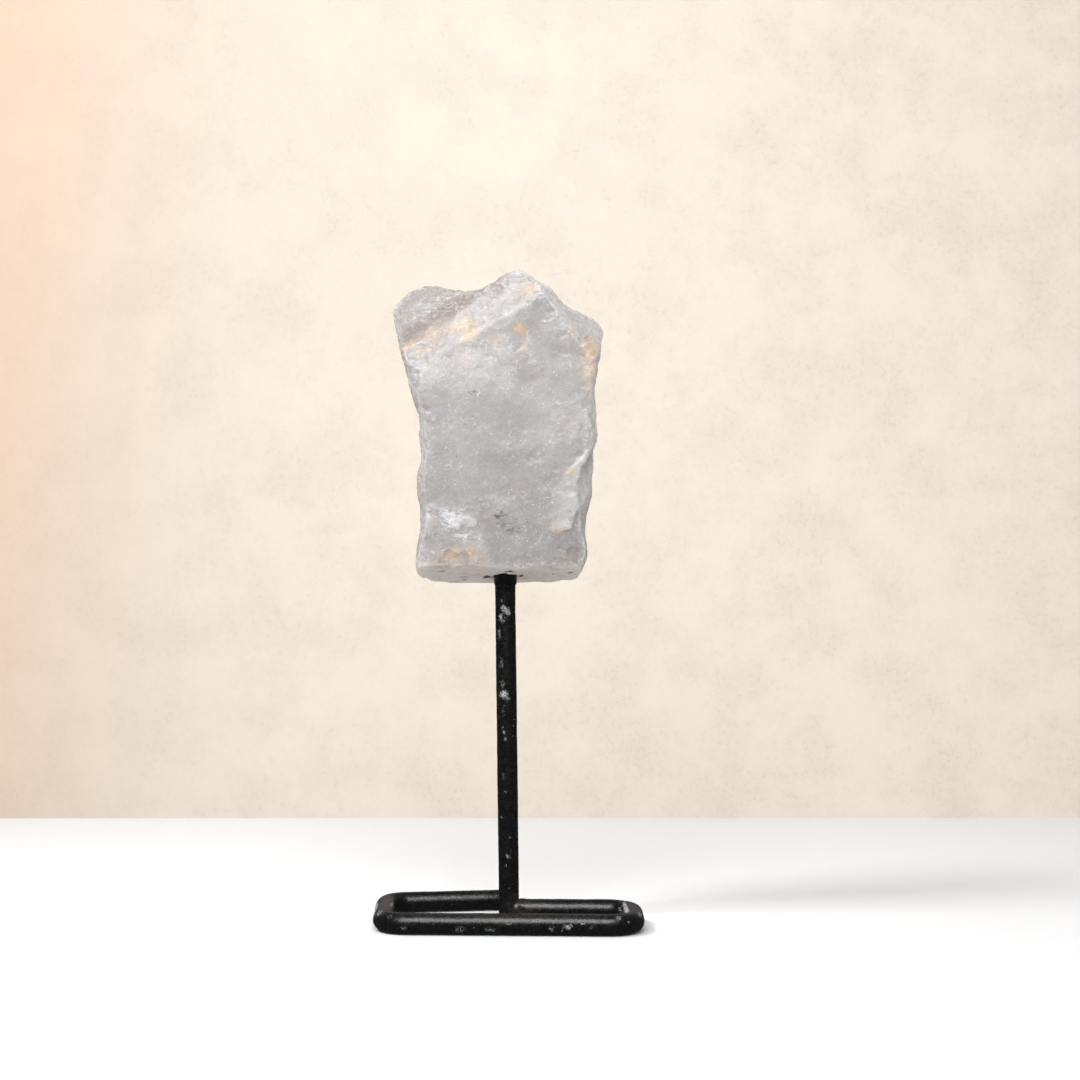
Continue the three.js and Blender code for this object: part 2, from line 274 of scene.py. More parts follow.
# Marks on the front of the stone: x, z, half length, half width, turn in degrees, strength
PEACH = [
    (-28.7, 68.9, 2.6, 1.1, 0, 0.7), (-23.2, 67.6, 2.4, 0.9, 5, 0.6), (-21, 71.6, 3.9, 1.3, 28, 0.6),
    (-14, 73.8, 3.5, 1.8, 28, 0.9), (-9.6, 72.1, 2.6, 2.6, 0, 1), (-11.4, 65.9, 1.7, 1.3, 0, 0.6),
    (5.8, 83.6, 2.1, 1.7, 0, 0.9), (9.5, 84.7, 1.1, 0.9, 0, 0.8), (-2.1, 69.2, 2.8, 1.4, 0, 0.4),
    (4.9, 72.6, 1.8, 1.7, 0, 1.3), (5.5, 67.3, 1.1, 2.2, 0, 0.45), (4.4, 64.2, 1.7, 1.7, 0, 0.3),
    (14.1, 47.9, 1.8, 1.2, 0, 0.35), (18.9, 72.1, 1.3, 2.1, 20, 0.4), (-24.9, 60.1, 1.1, 1.1, 0, 0.3),
    (24.9, 66.9, 2.5, 3.3, 0, 1.1), (24.2, 63.3, 2.7, 2.6, 0, 0.9), (24.9, 59.4, 1.7, 2.2, 0, 0.9),
    (23.3, 56.3, 1.1, 1.8, 0, 0.6), (15.2, 15, 2.4, 0.7, 0, 1), (19.6, 31.7, 1.8, 1.2, 20, 0.7),
    (-14.8, 7.2, 3.3, 2, -5, 0.8), (-9.1, 7.8, 3.1, 2, 0, 0.7), (-20.4, 5.6, 2.6, 1.1, 0, 0.35),
    (17.6, 8, 1.4, 1.1, 0, 0.5), (13.7, 15.9, 0.7, 1.3, 0, 0.8),
]
RUST = [
    (24.2, 69.5, 0.8, 1, 0, 1), (24.6, 58.9, 0.9, 0.9, 0, 1), (-14.5, 62.7, 0.4, 0.4, 0, 0.9),
    (-16.6, 62.3, 0.4, 0.3, 0, 0.7), (9.7, 60.6, 0.8, 1, 0, 1), (7.9, 59.9, 0.9, 0.4, 0, 0.7),
    (9.9, 58.7, 0.4, 0.4, 0, 0.8), (-9.6, 54.1, 1.3, 0.4, -8, 1), (-1, 68, 0.4, 0.3, 0, 0.6),
    (9.5, 55.3, 0.4, 0.3, 0, 0.6), (22.5, 66, 1, 0.6, 0, 0.6), (25.5, 63.8, 0.6, 1.3, 0, 0.5),
    (20, 9.4, 0.6, 0.6, 0, 1.2), (-0.3, 29.1, 0.4, 0.3, 0, 0.7), (11.5, 15.9, 0.3, 0.3, 0, 0.4),
]
VEILS = [
    (-5.7, 77.8, 5.2, 2.6, 25, 0.9), (-7.9, 74.3, 4.2, 3.5, 0, 0.7), (2.7, 77, 3.3, 2.2, 0, 0.9),
    (-0.8, 81.8, 4.8, 2, 32, 0.8), (3.6, 84.7, 3.1, 0.9, 10, 0.7), (-7.8, 57.5, 4.6, 2.6, 0, 0.45),
    (-5.6, 54.9, 2.7, 0.5, 0, 0.8), (-27.1, 65.4, 2.8, 2.6, 0, 0.6), (-10, 66.8, 1.5, 1, 0, 0.9),
    (-22.8, 80.4, 6.1, 1, 5, 0.35), (-25.4, 76.4, 3.7, 1, 0, 0.3), (-20.6, 72.9, 3.7, 0.9, 25, 0.5),
    (-28.9, 71.1, 1.7, 1.3, 0, 0.6), (13.2, 81, 1.3, 3.9, -30, 0.3), (-11.4, 72.1, 2.6, 2.6, 0, 0.5),
    (-23.1, 42.2, 1.3, 5.7, 0, 0.6), (-12.6, 17.7, 3.7, 1.7, -15, 1), (-17, 22, 4.4, 1.7, -10, 0.7),
    (-8.7, 12, 2.6, 2.2, 0, 0.8), (-23.1, 7.2, 2.8, 2.6, 0, 0.7), (-16.5, 8.9, 3.1, 1.1, 0, 0.5),
    (-2.5, 5.8, 3.3, 0.8, 0, 0.7), (16.7, 22.1, 2.6, 6.6, 0, 0.7), (12.8, 26.9, 2.6, 2, 0, 0.5),
    (-22.7, 18.5, 2.6, 3.9, 0, 0.4), (-23.1, 35.6, 1.1, 3.5, 0, 0.5), (13.7, 7.2, 2.6, 1, 0, 0.5),
    (15.9, 35.2, 3.9, 2.2, 35, 0.35),
]
SMUDGE = [
    (-1, 18.5, 1.8, 1.7, 0, 1.2), (1.4, 17.2, 3, 2, -30, 0.8), (3.2, 15, 1.8, 1.2, 0, 0.9),
    (-1.2, 20, 1.2, 0.9, 0, 1.1),
]

# A plate left beside the flake scar, its outline as x, z. Its right and lower edges are sharp.
PLATE = [
    (24.8, 39.5), (23.3, 35.6), (21.5, 33.4), (21.1, 30.8), (20.2, 28.2), (20.2, 24.7), (21.1, 22.1),
    (20.4, 20.3), (19.5, 18.5), (18.7, 15.5), (15.8, 15.4), (13.4, 14.5), (12.9, 19), (13, 25),
    (15.7, 30), (19.5, 33.5),
]

# Small lens-shaped flakes that stand up white at the lower left, each an outline as x, z
LENSES = [
    [(-12.4, 19.2), (-10.4, 19.1), (-8.3, 18), (-8.1, 17), (-9.2, 16.1), (-11.4, 16.1), (-12.2, 17)],
    [(-17.6, 20.4), (-14.4, 19.4), (-12.6, 18.4), (-12.4, 17), (-13.2, 15.4), (-15.2, 15.8), (-16.8, 18)],
]

# The darker ground of the upper left facet, along its edge with the pale band
WEDGE = [
    (-31.4, 68.1), (-19.7, 74.2), (-15.4, 77.1), (-6.7, 81.7), (-10.2, 82.9), (-15.4, 81.9), (-19.4, 80.1),
    (-23.1, 77.2), (-30.3, 73.1),
]

# Ground where thin flakes have come away in steps, in rows like those of PEACH
FLAKY = [
    (-20, 80, 14, 5, 10, 0.75), (-18, 19, 8, 5, 0, 0.8), (-11, 13, 5, 3, 0, 0.75), (-2, 85, 8, 3, 30, 0.45),
    (16, 33, 5, 5, 40, 0.35), (24, 74, 4, 5, 0, 0.5),
]

# Small pits in the underside: x, y, half length, half width, strength. They are stretched, most of all from
# front to back, as the camera only grazes the underside.
PITS_LONGER, PITS_WIDER = 1.15, 1.8
PIT_DEPTH = 0.55
UNDER_PITS = [
    (-18.4, -5.4, 1.3, 0.6, 1), (-12.2, 1.7, 1.5, 0.9, 1), (-12.2, 6.3, 0.7, 0.7, 0.8),
    (11.1, -12.6, 0.6, 0.5, 0.6), (13, -11.3, 0.5, 0.5, 0.6), (14.5, -11.8, 0.6, 0.5, 0.6),
    (16.5, -11.8, 0.5, 0.6, 0.7), (19.2, -2.4, 1, 0.7, 1), (14, -1.4, 0.6, 0.5, 0.7),
    (16.6, -5.4, 0.5, 0.5, 0.7), (11.3, -2.4, 0.6, 0.5, 0.6), (8.5, -12.2, 0.6, 0.4, 0.4),
    (-7.5, -4.5, 0.5, 0.4, 0.5), (6.5, 3, 0.7, 0.4, 0.5),
]

# Smears of black glue beside the hole: x, y, radius. They are stretched in the same way.
SMEARS_LONGER = 2.2
SMEARS = [
    (1.5, -8.4, 0.9), (0.2, -7.6, 0.7), (2.7, -7.4, 0.7), (-5.3, 0.4, 1.3), (-4.1, 0, 1.2), (-6.2, 1.4, 0.7),
    (4.6, 0.4, 1),
]

# Rounds of evening out: to find the edges, to soften what is found, and to ease the surface
BULGE_ROUNDS, EDGE_ROUNDS, EASE_ROUNDS = 38, 3, 2

# Chips are broken out where the surface bulges this much: how many, their sizes and their depths
EDGE_BULGE = 0.16
EDGE_CHIPS = [(90, (2.5, 6), (0.12, 0.42)), (420, (0.8, 2), (0.07, 0.24))]
SCOOP_TILT = 0.35
SCOOP_LIE, SCOOP_DRAWN = (0.3, 0.5, 0.8), 0.4

# Thin flakes off the broken faces: how many, their sizes and their depths
LARGE_FLAKES = (420, (1.6, 5), (0.07, 0.22))
SMALL_FLAKES = (700, (0.8, 2), (0.05, 0.14))
FLAKE_NARROW = 3.4

PLATE_RISE = 0.32
LENS_RISE = 0.24
LIP_RADIUS = 3.95
GLUED_RADIUS = 3.9


def plane_heights(points):
    """How far each point lies outside each broken face's plane."""
    return {name: (points - at) @ unit(np.array(out)) for name, (at, out) in FACES.items()}


def on_face(heights, name, soft):
    """Which points belong to one face rather than to any other."""
    others = np.max([h for key, h in heights.items() if key != name], axis=0)
    return smooth(-soft, soft, heights[name] - others)


def within(points, outline, soft):
    """1 inside an outline in x and z, 0 outside it, and a step between that is soft wide."""
    x, z = points[:, 0], points[:, 2]
    inside = np.zeros(len(points), bool)
    nearest = np.full(len(points), np.inf)
    for (ax, az), (bx, bz) in zip(outline, outline[1:] + outline[:1]):
        dx, dz = bx - ax, bz - az
        crosses = (az > z) != (bz > z)
        inside ^= crosses & (x < ax + dx * (z - az) / (dz or 1))
        share = np.clip(((x - ax) * dx + (z - az) * dz) / (dx**2 + dz**2), 0, 1)
        nearest = np.minimum(nearest, np.hypot(x - ax - share * dx, z - az - share * dz))
    return smooth(-soft, soft, np.where(inside, nearest, -nearest))


def stairs(run, period):
    """Low steps, each rising slowly and ending in a short sharp drop."""
    part = run / period - np.floor(run / period)
    return part * smooth(1, 0.86, part)


def scoops(points, normals, bulge, rng, count, sizes, depths):
    """Small shell-shaped chips broken out of the edges, each a little drawn out and uneven."""
    edge = np.flatnonzero(bulge > EDGE_BULGE)
    moved = points.copy()
    for seat in rng.choice(edge, count, replace=False):
        size = rng.uniform(*sizes)
        depth = rng.uniform(*depths)
        out = unit(normals[seat] + rng.normal(0, SCOOP_TILT, 3))
        centre = moved[seat] + out * (size - depth)
        near = np.flatnonzero(np.abs(moved - centre).max(axis=1) < 1.7 * size)
        arm = moved[near] - centre
        along = unit(np.cross(out, SCOOP_LIE))
        arm -= SCOOP_DRAWN * (arm @ along)[:, None] * along
        reach = np.linalg.norm(arm, axis=1)
        arm /= reach[:, None]
        reach += 0.09 * size * rough(moved[near], 0.55 * size, 25, 2)
        facing = smooth(0, 0.5, -(arm * normals[near]).sum(axis=1))
        push = np.clip(size - reach, 0, 1.5 * depth) * facing
        moved[near] += arm * push[:, None]
    return moved


def flakes(points, normals, where, rng, count, sizes, depths):
    """How deep thin flakes have come off. Each scar is a rippled shell that deepens one way to a step."""
    depth = np.zeros(len(points))
    seats = rng.choice(len(points), count, replace=False, p=where / where.sum())
    for seat in seats:
        size = rng.uniform(*sizes)
        way = unit(np.cross(normals[seat], rng.normal(size=3)))
        near = np.flatnonzero(np.abs(points - points[seat]).max(axis=1) < size)
        arm = (points[near] - points[seat]) / size
        along = arm @ way
        across = (arm * arm).sum(axis=1) - along**2
        reach = np.sqrt(along**2 + FLAKE_NARROW * np.maximum(across, 0))
        ripples = 1 + 0.13 * np.sin(11 * along + 3 * size)
        shell = smooth(-1, 0.9, along) * smooth(1, 0.8, reach) * ripples
        depth[near] = np.maximum(depth[near], rng.uniform(*depths) * shell)
    return depth


def stone_zones(points, normals, edge):
    """Where the stone's edges, front, underside and the rest lie, from 0 to 1 at each point."""
    x, y, z = points.T
    heights = plane_heights(points)
    front = smooth(-2, -7, y)
    under = smooth(0.35, 0.65, -normals[:, 2]) * smooth(11, 7, z)
    mouth = np.hypot(x, y)
    return SimpleNamespace(
        heights=heights,
        edge=edge,
        front=front,
        under=under,
        skin=1 - under,
        # How far it is to the hole's axis, and where that is far enough to work the surface
        mouth=mouth,
        calm=smooth(3.6, 6.5, mouth + smooth(4, 9, z) * 10),
        plain=on_face(heights, "broad", 2.5) * front * (1 - edge),
        # The points moved about, so that marks read there have uneven outlines
        wander=warped(warped(points, 5, 1.5, 31), 1.8, 0.7, 35),
    )


def stone_relief(points, normals, zone, rng):
    """How far the broken surface stands out at each point: lumps and low steps, less the flakes' scars."""
    drawn = points * (0.3, 0.5, 1)
    run = points @ np.array([0.2, 0.35, 1]) + 1.2 * rough(drawn, 3, 71, 2)
    cross = points @ np.array([0.8, 0.3, -0.5]) + 1.3 * rough(points, 6, 81, 2)
    likely = zone.skin * (0.3 + zone.flaky - 0.22 * zone.plain)
    scars = flakes(zone.wander, normals, likely, rng, *LARGE_FLAKES)
    likely = zone.skin * (0.12 + zone.flaky + zone.edge - 0.08 * zone.plain)
    scars += flakes(zone.wander, normals, likely, rng, *SMALL_FLAKES)
    lift = (
        0.16 * rough(points, 8, 41)
        + 0.3 * zone.flaky * stairs(run, 1.9)
        + 0.2 * zone.flaky * stairs(cross, 3.1)
        + 0.09 * zone.flaky * rough(drawn, 0.75, 47, 2)
        + 0.05 * (0.3 + zone.flaky + zone.edge) * rough(points, 1.7, 51, 2)
        - scars
    ) * zone.skin
    lift += zone.under * (0.16 * rough(points, 4, 91) + 0.05 * rough(points, 1.3, 95))

    # The front's lower edge is wavy
    lift += 0.4 * rough(points, 10, 98, 2) * zone.edge * smooth(9, 6, points[:, 2]) * zone.front
    return lift * zone.calm


def under_pits(points, zone):
    """How deep the small pits in the underside are, from 0 to 1."""
    pits = np.zeros(len(points))
    uneven = 0.25 * noise(points, 0.9, 97)
    for x, y, long, wide, strength in UNDER_PITS:
        away = np.hypot((points[:, 0] - x) / (PITS_LONGER * long), (points[:, 1] - y) / (PITS_WIDER * wide))
        pits = np.maximum(pits, strength * smooth(1.25, 0.3, away + uneven))
    return pits * zone.under


def glue_marks(points, zone):
    """The black glue round the hole with its smears, and the lip broken out in front of it, white where it
    is chipped and with a painted highlight where it catches light.
    """
    low = smooth(8, 5, points[:, 2])
    lip_chip_and_highlight = np.abs(zone.mouth + 0.25 * noise(points, 0.9, 181) - LIP_RADIUS)
    lip_chip_and_highlight = smooth(0.75, 0.2, lip_chip_and_highlight) * low * smooth(2, -2, points[:, 1])
    soot = smooth(GLUED_RADIUS, GLUED_RADIUS - 0.6, zone.mouth + 0.3 * rough(points, 1.6, 101)) * low
    for x, y, size in SMEARS:
        away = np.hypot(points[:, 0] - x, (points[:, 1] - y) / SMEARS_LONGER) / size
        soot = np.maximum(soot, low * smooth(1.2, 0.2, away))
    return soot * (1 - lip_chip_and_highlight), lip_chip_and_highlight


def stone_marks(points, normals, zone):
    """What the stone's material reads at each point."""
    x, y, z = points.T
    rim = zone.edge * zone.skin
    back = smooth(2, 6, y) * zone.skin
    stained = 0.5 * back * smooth(0.55, 0.9, rough(points, 13, 201))
    veiled = back * smooth(0.3, 0.8, rough(points, 9, 211))
    right = smooth(-3, 6, x)
    facing = np.abs(normals[:, 1])
    # Painted light: the sides, the right ones most, are marked to be coloured paler, so that they look as
    # brightly lit as the front
    side = right * smooth(0.93, 0.6, facing) + 0.3 * (1 - right) * smooth(0.75, 0.35, facing)
    crest = smooth(80, 83, z + 0.1 * x) * smooth(4, -4, x)
    soot, lip_chip_and_highlight = glue_marks(points, zone)
    return {
        "peach": np.maximum(zone.front * spots(zone.wander, PEACH), stained),
        "rust": zone.front * spots(zone.wander, RUST),
        "veil": np.maximum(zone.front * spots(zone.wander, VEILS), veiled),
        "smudge": zone.front * spots(zone.wander, SMUDGE),
        "plate": zone.plate,
        "lens": zone.lens,
        "wedge": within(zone.wander, WEDGE, 2) * zone.front,
        "crush": rim * crest,
        "dark_face": on_face(zone.heights, "dark", 0.35) * smooth(4, -2, y),
        "band": on_face(zone.heights, "band", 0.8) * zone.front,
        "under": zone.under,
        "pit": zone.pits,
        "soot": soot,
        "lip_chip_and_highlight": lip_chip_and_highlight,
        "edge": rim * (0.45 + 0.55 * right),
        # Painted shade along the left edge of the front
        "left_rim_painted_shade": rim * (1 - right) * smooth(0, -5, y) * smooth(5, 10, z),
        "side": zone.skin * smooth(6, -2, y) * side,
        "flaky": zone.flaky,
    }


def make_stone():
    mesh = stone_blank()
    points, normals, edges = read_mesh(mesh)
    polygons = [tuple(p.vertices) for p in mesh.polygons]
    bpy.data.meshes.remove(mesh)
    rng = np.random.default_rng(7)

    bulge = ((points - relaxed(points, edges, BULGE_ROUNDS)) * normals).sum(axis=1)
    edge = smooth(0.05, 0.4, relaxed(bulge, edges, EDGE_ROUNDS))
    points = relaxed(points, edges, EASE_ROUNDS)
    zone = stone_zones(points, normals, edge)
    for chips in EDGE_CHIPS:
        points = scoops(points, normals, bulge, rng, *chips)
    elsewhere = 0.28 * smooth(0.1, 0.7, rough(points, 9, 61, 2)) * (1 - zone.plain)
    zone.flaky = np.maximum(zone.front * spots(zone.wander, FLAKY), elsewhere)
    lift = stone_relief(points, normals, zone, rng)

    # The plate and the lenses stand a little proud, each thickest at its sharp edge
    fringe = warped(points, 1.4, 0.35, 171)
    zone.plate = within(fringe, PLATE, 1) * zone.front
    zone.lens = np.max([within(fringe, outline, 1) for outline in LENSES], axis=0) * zone.front
    sharp = smooth(12, 19, points[:, 0] + 6 * smooth(17, 14, points[:, 2]))
    lift += PLATE_RISE * smooth(0.3, 0.7, zone.plate) * sharp + LENS_RISE * smooth(0.3, 0.7, zone.lens)

    zone.pits = under_pits(points, zone)
    lift -= PIT_DEPTH * zone.pits
    points = points + normals * lift[:, None]
    return make("raw_quartz", points, polygons, STONE, stone_marks(points, normals, zone))


# The stand

ROD_SIDES = 56
END_TURNS = np.radians([0, 18, 38, 58, 78])
POST_RINGS, POST_END_ROUND = 260, 0.5
BASE_STEP, BASE_END_ROUND = 0.45, 0.7


def bent_line(corners, radius, step):
    """Points along a line that is bent to one radius at each corner, about a step apart."""
    corners = [np.array(c, float) for c in corners]
    line = [corners[0]]

    def run_to(end):
        start = line[-1]
        count = max(1, round(np.linalg.norm(end - start) / step))
        line.extend(start + (end - start) * i / count for i in range(1, count + 1))

    for before, here, after in zip(corners, corners[1:], corners[2:]):
        back = unit(before - here)
        ahead = unit(after - here)
        half = math.acos(back @ ahead) / 2
        run_to(here + back * radius / math.tan(half))
        centre = here + unit(back + ahead) * radius / math.sin(half)
        arm = line[-1] - centre
        turn = math.pi - 2 * half
        if back[0] * ahead[1] - back[1] * ahead[0] > 0:
            turn = -turn
        count = max(2, round(abs(turn) * radius / step))
        for i in range(1, count + 1):
            c, s = math.cos(turn * i / count), math.sin(turn * i / count)
            line.append(centre + np.array([arm[0] * c - arm[1] * s, arm[0] * s + arm[1] * c]))
    run_to(corners[-1])
    return np.array(line)


def rod(path, end_round):
    """A round rod along a path, with rounded ends. Returns its points, outward directions and faces."""
    ahead = unit(np.gradient(path, axis=0))
    guide = (0, 1, 0) if abs(ahead[0][2]) > 0.7 else (0, 0, 1)
    side = unit(np.cross(ahead, guide))
    other = np.cross(side, ahead)
    run = np.concatenate([[0], np.cumsum(np.linalg.norm(np.diff(path, axis=0), axis=1))])

    inset = end_round * (1 - np.cos(END_TURNS))
    narrow = ROD_RADIUS - end_round * (1 - np.sin(END_TURNS))
    start = [(path[0] + ahead[0] * d, r, 0) for d, r in zip(inset, narrow)]
    finish = [(path[-1] - ahead[-1] * d, r, -1) for d, r in zip(inset, narrow)]
    inner = np.flatnonzero((run > end_round) & (run < run[-1] - end_round))
    rings = start + [(path[i], ROD_RADIUS, i) for i in inner] + finish[::-1]

    angles = np.arange(ROD_SIDES) * 2 * math.pi / ROD_SIDES
    outs = [np.outer(np.cos(angles), side[i]) + np.outer(np.sin(angles), other[i]) for _, _, i in rings]
    points = [at + out * r for (at, r, _), out in zip(rings, outs)]
    points = np.vstack([*points, path[0], path[-1]])
    outs = np.vstack([*outs, -ahead[0], ahead[-1]])

    faces = []
    last, hub = (len(rings) - 1) * ROD_SIDES, len(rings) * ROD_SIDES
    for k in range(ROD_SIDES):
        n = (k + 1) % ROD_SIDES
        for row in range(0, last, ROD_SIDES):
            faces.append((row + k, row + ROD_SIDES + k, row + ROD_SIDES + n, row + n))
        faces.append((hub, k, n))
        faces.append((hub + 1, last + n, last + k))
    return points, outs, faces


# Places where the paint is chipped or scratched: x, y, z, radius along each, and strength
CHIPS = [
    (-2.1, -3, 92.8, 0.5, 2, 0.8, 0.62), (-1.7, -3, 90.6, 1, 2, 1.3, 0.9),
    (-0.6, -3, 89.6, 1.3, 2, 1.4, 0.9), (-2.6, -3, 88.1, 0.7, 2, 1.4, 0.9),
    (-1.7, -3, 87.1, 0.7, 2, 1, 0.62), (-3, -2.6, 83.3, 0.6, 2, 2.1, 0.65),
    (-2.4, -3, 75, 0.9, 2, 2.9, 0.43), (-2, -3, 68.9, 1, 2, 2, 0.47),
    (-1.6, -3, 65.6, 1.4, 2, 1.3, 0.95), (-0.4, -3, 64.3, 0.9, 2, 1.1, 0.58),
    (-1.7, -3, 60.5, 0.7, 2, 1.7, 0.43), (-2, -3, 56, 0.4, 2, 1, 0.46),
    (-1.5, -3, 54.6, 0.4, 2, 0.7, 0.72), (-1.3, -3, 52.8, 0.5, 2, 0.7, 0.72),
    (-1.6, -3, 42, 0.6, 2, 1.8, 0.38), (-1.1, -3, 37.6, 0.5, 2, 0.6, 0.5),
    (0.1, -3, 24.2, 0.4, 2, 0.4, 0.72), (-0.6, -3, 18.8, 0.5, 2, 0.7, 0.8),
    (-1, -3, 16.2, 0.4, 2, 0.4, 0.72), (0.5, -3, 19, 0.5, 2, 2.4, 0.31),
    (-2.3, -2.4, 30, 0.4, 2, 0.6, 0.56), (-13.7, -26, 1.8, 1.9, 2, 1.2, 0.52),
    (-5.4, -26.5, 1.9, 1.8, 2, 0.8, 0.52), (-33.5, -24, 5.3, 1, 2, 0.8, 0.56),
    (-29.3, -25, 2.2, 0.9, 2, 0.7, 0.6), (11.8, -27, 2.1, 1.3, 2, 1.2, 0.52),
    (14.6, -27, 1.8, 0.5, 2, 0.5, 0.64), (16, -27.5, 2.9, 1.7, 2, 0.9, 0.76),
    (20.1, -27.5, 3.9, 1, 2, 0.5, 0.76), (22.6, -28, 2.7, 0.5, 2, 0.4, 0.8),
    (33.2, -27.5, 4.1, 0.8, 2, 0.5, 0.64), (30.2, -27, 5.2, 1.1, 2, 0.7, 0.56),
    (35.1, -27, 4.7, 0.4, 2, 0.5, 0.64), (8.1, -27, 4.6, 0.8, 2, 0.5, 0.6),
    (-0.5, -27.5, 3.8, 1.4, 2, 0.6, 0.48), (31.9, -12, 4, 0.7, 9, 1.7, 0.75),
]

# Bright bare metal on the side rails, partly worn by handling and partly painted highlights where the rails
# catch the lamps, in rows like those above
WORN_AND_PAINTED_HIGHLIGHT = [
    (33.2, -13, 5.3, 0.8, 10, 1.2, 1.1), (-38.4, -9, 4.5, 0.9, 11, 1.4, 1),
    (-36.8, -19.5, 5.6, 2, 3, 1.1, 0.6), (36.8, -22, 5.4, 1.4, 3, 1, 0.6),
    (-34, -5, 5, 0.5, 9, 0.8, 0.6),
]

# Where rust shows brown through the paint, in rows like those above
RUSTY = [
    (-35.6, -6, 5.6, 2.6, 12, 2, 1.1), (37.5, -12, 4.5, 1.8, 9, 2, 1), (3.9, 0, 4, 4.5, 5, 4, 0.8),
    (0, -25, 6, 40, 3, 1, 0.5), (-18, 16, 6, 18, 2.5, 1, 0.4), (18, 1, 6, 14, 2.5, 1, 0.5),
]

# The paint lies this thick over a rod with shallow dents and finer ripples
PAINT = 0.03
DENTS, RIPPLES = 0.05, 0.022


def make_post():
    top = STONE_AT[2] + UNDERSIDE_AT_PIN + PIN_DEPTH
    heights = np.linspace(POST_BOTTOM, top, POST_RINGS)
    lean = np.array([math.sin(POST_LEAN), 0, math.cos(POST_LEAN)])
    return worn_rod("post", *rod(heights[:, None] * lean, POST_END_ROUND))


def make_base():
    plan = bent_line(BASE_LINE, BEND_RADIUS, BASE_STEP)
    path = np.column_stack([plan, np.full(len(plan), ROD_RADIUS)])
    return worn_rod("base_loop", *rod(path, BASE_END_ROUND))


def worn_rod(name, points, outs, faces):
    """Adds the unevenness of hand-worked rod, which stands out by no more than the paint's thickness."""
    chips = ovals(points, CHIPS)
    lift = DENTS * rough(points, 7, 111, 2) + RIPPLES * rough(points, 1.8, 121, 2) - PAINT * chips
    points = points + outs * (np.minimum(lift, 2 * PAINT) - PAINT)[:, None]
    points[:, 2] = np.maximum(points[:, 2], 0)
    marks = {"chip": chips, "worn_and_painted_highlight": ovals(points, WORN_AND_PAINTED_HIGHLIGHT), "rusty": ovals(points, RUSTY)}
    return make(name, points, faces, FOOT, marks)


def make_weld():
    """A lump of weld: a ball drawn out to size, with the ripples of its bead across it."""
    ball = bmesh.new()
    bmesh.ops.create_icosphere(ball, subdivisions=6, radius=1)
    directions = np.array([v.co[:] for v in ball.verts])
    faces = [tuple(v.index for v in f.verts) for f in ball.faces]
    ball.free()
    points = directions * WELD_HALF_SIZE
    ripple = np.sin(points[:, 2] * 3.4 + 0.9 * points[:, 0] + 1.2 * noise(points, 2.5, 131))
    lift = 0.1 * ripple + 0.16 * rough(points, 1.7, 141) + 0.05 * rough(points, 0.6, 151, 2)
    points = points + directions * lift[:, None] + WELD_AT
    points[:, 2] = np.clip(points[:, 2], 0.05, None)
    return make("weld", points, faces, FOOT)


# The bead of glue, and its side from its free edge up to the stone: share of its height, share of its width
GLUE_TURNS = 120
GLUE_WIDTH = 0.3
GLUE_FREE_EDGE = -0.5
GLUE_SIDE = [
    (0, 0), (0.05, 0.25), (0.14, 0.6), (0.25, 0.85), (0.38, 0.98), (0.5, 1.02), (0.62, 1), (0.74, 0.96),
    (0.85, 0.98), (0.93, 1.05), (1, 1.12), (1.06, 1),
]


def make_glue():
    """The bead squeezed out round the mouth of the hole. Its top lies against the sloping underside."""
    points = []
    for level, out in GLUE_SIDE:
        for turn in np.arange(GLUE_TURNS) * 2 * math.pi / GLUE_TURNS:
            c, s = math.cos(turn), math.sin(turn)
            wide = GLUE_WIDTH + 0.06 * c + 0.06 * math.sin(2 * turn + 1) + 0.04 * math.sin(5 * turn)
            radius = ROD_RADIUS + 0.02 + wide * out
            top = UNDERSIDE_AT_PIN - UNDERSIDE_RISE * radius * s
            low = GLUE_FREE_EDGE + 0.25 * math.sin(3 * turn + 0.6) + 0.15 * math.sin(7 * turn)
            points.append((radius * c, radius * s, low + (top - low) * level))
    points = np.array(points)
    points[:, 0] += math.tan(POST_LEAN) * points[:, 2]
    outs = unit(points * (1, 1, 0))
    points += outs * (0.05 * rough(points, 1.1, 161))[:, None]

    # Two more rings close the bead inside the rod
    inner = outs * (ROD_RADIUS - 0.3)
    inner[:, 2] = points[:, 2]
    points = np.vstack([points, inner[-GLUE_TURNS:], inner[:GLUE_TURNS]])
    rings = len(points) // GLUE_TURNS
    faces = []
    for ring in range(rings):
        low, high = ring * GLUE_TURNS, (ring + 1) % rings * GLUE_TURNS
        for k in range(GLUE_TURNS):
            n = (k + 1) % GLUE_TURNS
            faces.append((low + k, low + n, high + n, high + k))
    return make("glue", points, faces, STONE)


# Materials

